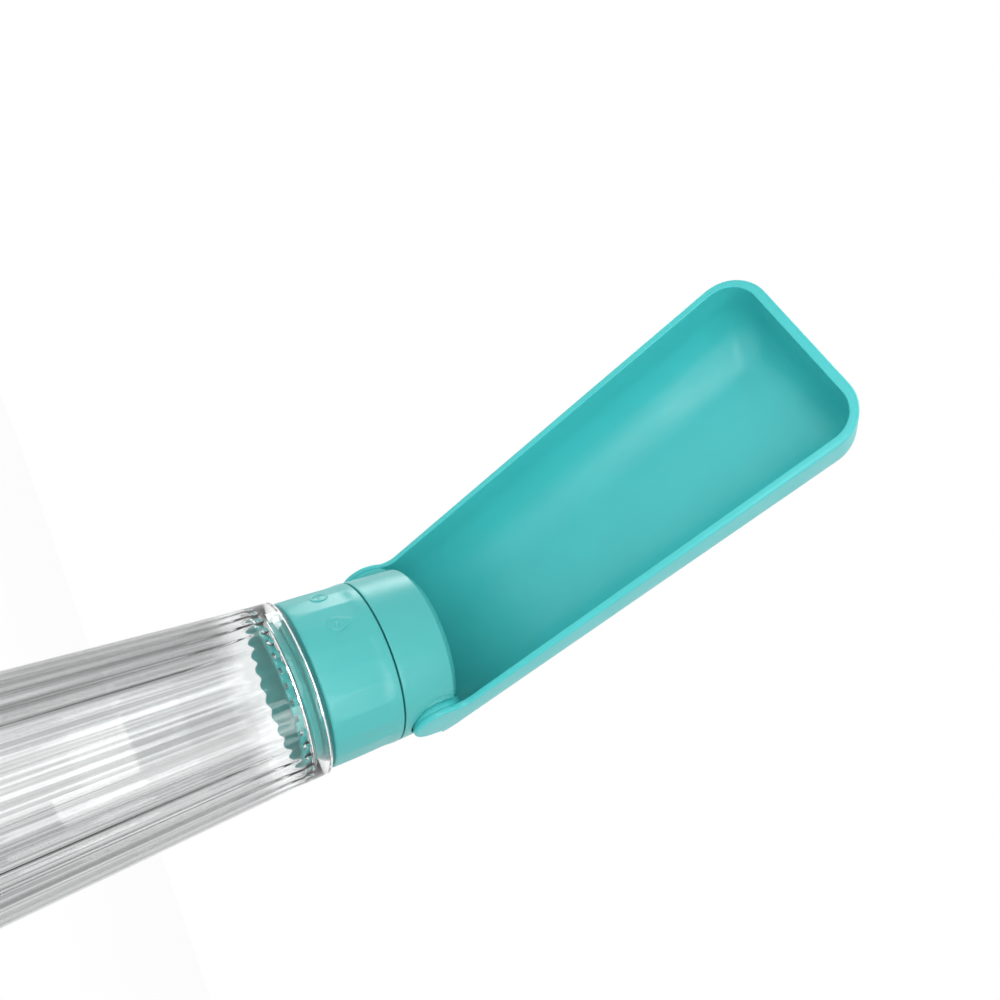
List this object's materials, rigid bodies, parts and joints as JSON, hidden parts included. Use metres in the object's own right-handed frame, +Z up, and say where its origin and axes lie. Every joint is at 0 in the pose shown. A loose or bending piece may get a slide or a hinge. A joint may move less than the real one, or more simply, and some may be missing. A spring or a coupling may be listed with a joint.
{
  "type": "dog travel water bottle",
  "caption": "Clear screw-cap water bottle for dogs with a twist valve in its head and a rigid drinking trough that folds over the bottle.",
  "frame": {"origin": "centre of the bottle's foot, on the surface it stands on", "axes": "+Z up the bottle's axis, X along the hinge, the open trough leans towards -Y"},
  "size_m": [0.0914, 0.2054, 0.3668],
  "materials": {
    "clear_plastic": "clear, glossy",
    "teal_plastic": "satin",
    "trough_plastic": "satin",
    "white_plastic": "satin",
    "dark_silicone": "matte",
    "black_silicone": "matte",
    "steel": "turned"
  },
  "bodies": {
    "bottle": {"bottle": "clear_plastic"},
    "gasket": {"mouth_gasket": "dark_silicone"},
    "cap": {"threaded_plug": "teal_plastic", "collar": "teal_plastic", "valve_seat": "white_plastic", "seat_seal": "black_silicone", "centre_screw": "steel", "spring_washer": "steel"},
    "head": {"valve_disc": "white_plastic", "clip_ring": "teal_plastic", "funnel": "white_plastic", "funnel_seal": "black_silicone", "head": "teal_plastic", "outlet_nozzle": "dark_silicone", "air_valve": "dark_silicone", "hinge_pin_left": "steel", "hinge_pin_right": "steel", "friction_washer_left": "black_silicone", "friction_washer_right": "black_silicone"},
    "trough": {"trough": "trough_plastic"}
  },
  "joints": [
    {"name": "cap_lift", "type": "slide", "parent": "bottle", "child": "gasket", "axis": [0, 0, 1], "range_m": [0, 0.009]},
    {"name": "cap_turn", "type": "hinge", "parent": "gasket", "child": "cap", "pos_m": [0, 0, 0.1562], "axis": [0, 0, 1], "range_deg": [0, 1080]},
    {"name": "valve_twist", "type": "hinge", "parent": "cap", "child": "head", "pos_m": [0, 0, 0.1834], "axis": [0, 0, 1], "range_deg": [-30, 0]},
    {"name": "trough_swing", "type": "hinge", "parent": "head", "child": "trough", "pos_m": [0, -0.002, 0.199], "axis": [1, 0, 0], "range_deg": [0, 131.5]}
  ],
  "couplings": [
    {"joint": "cap_lift", "follows": "cap_turn", "m_per_rad": 0.00047746}
  ]
}
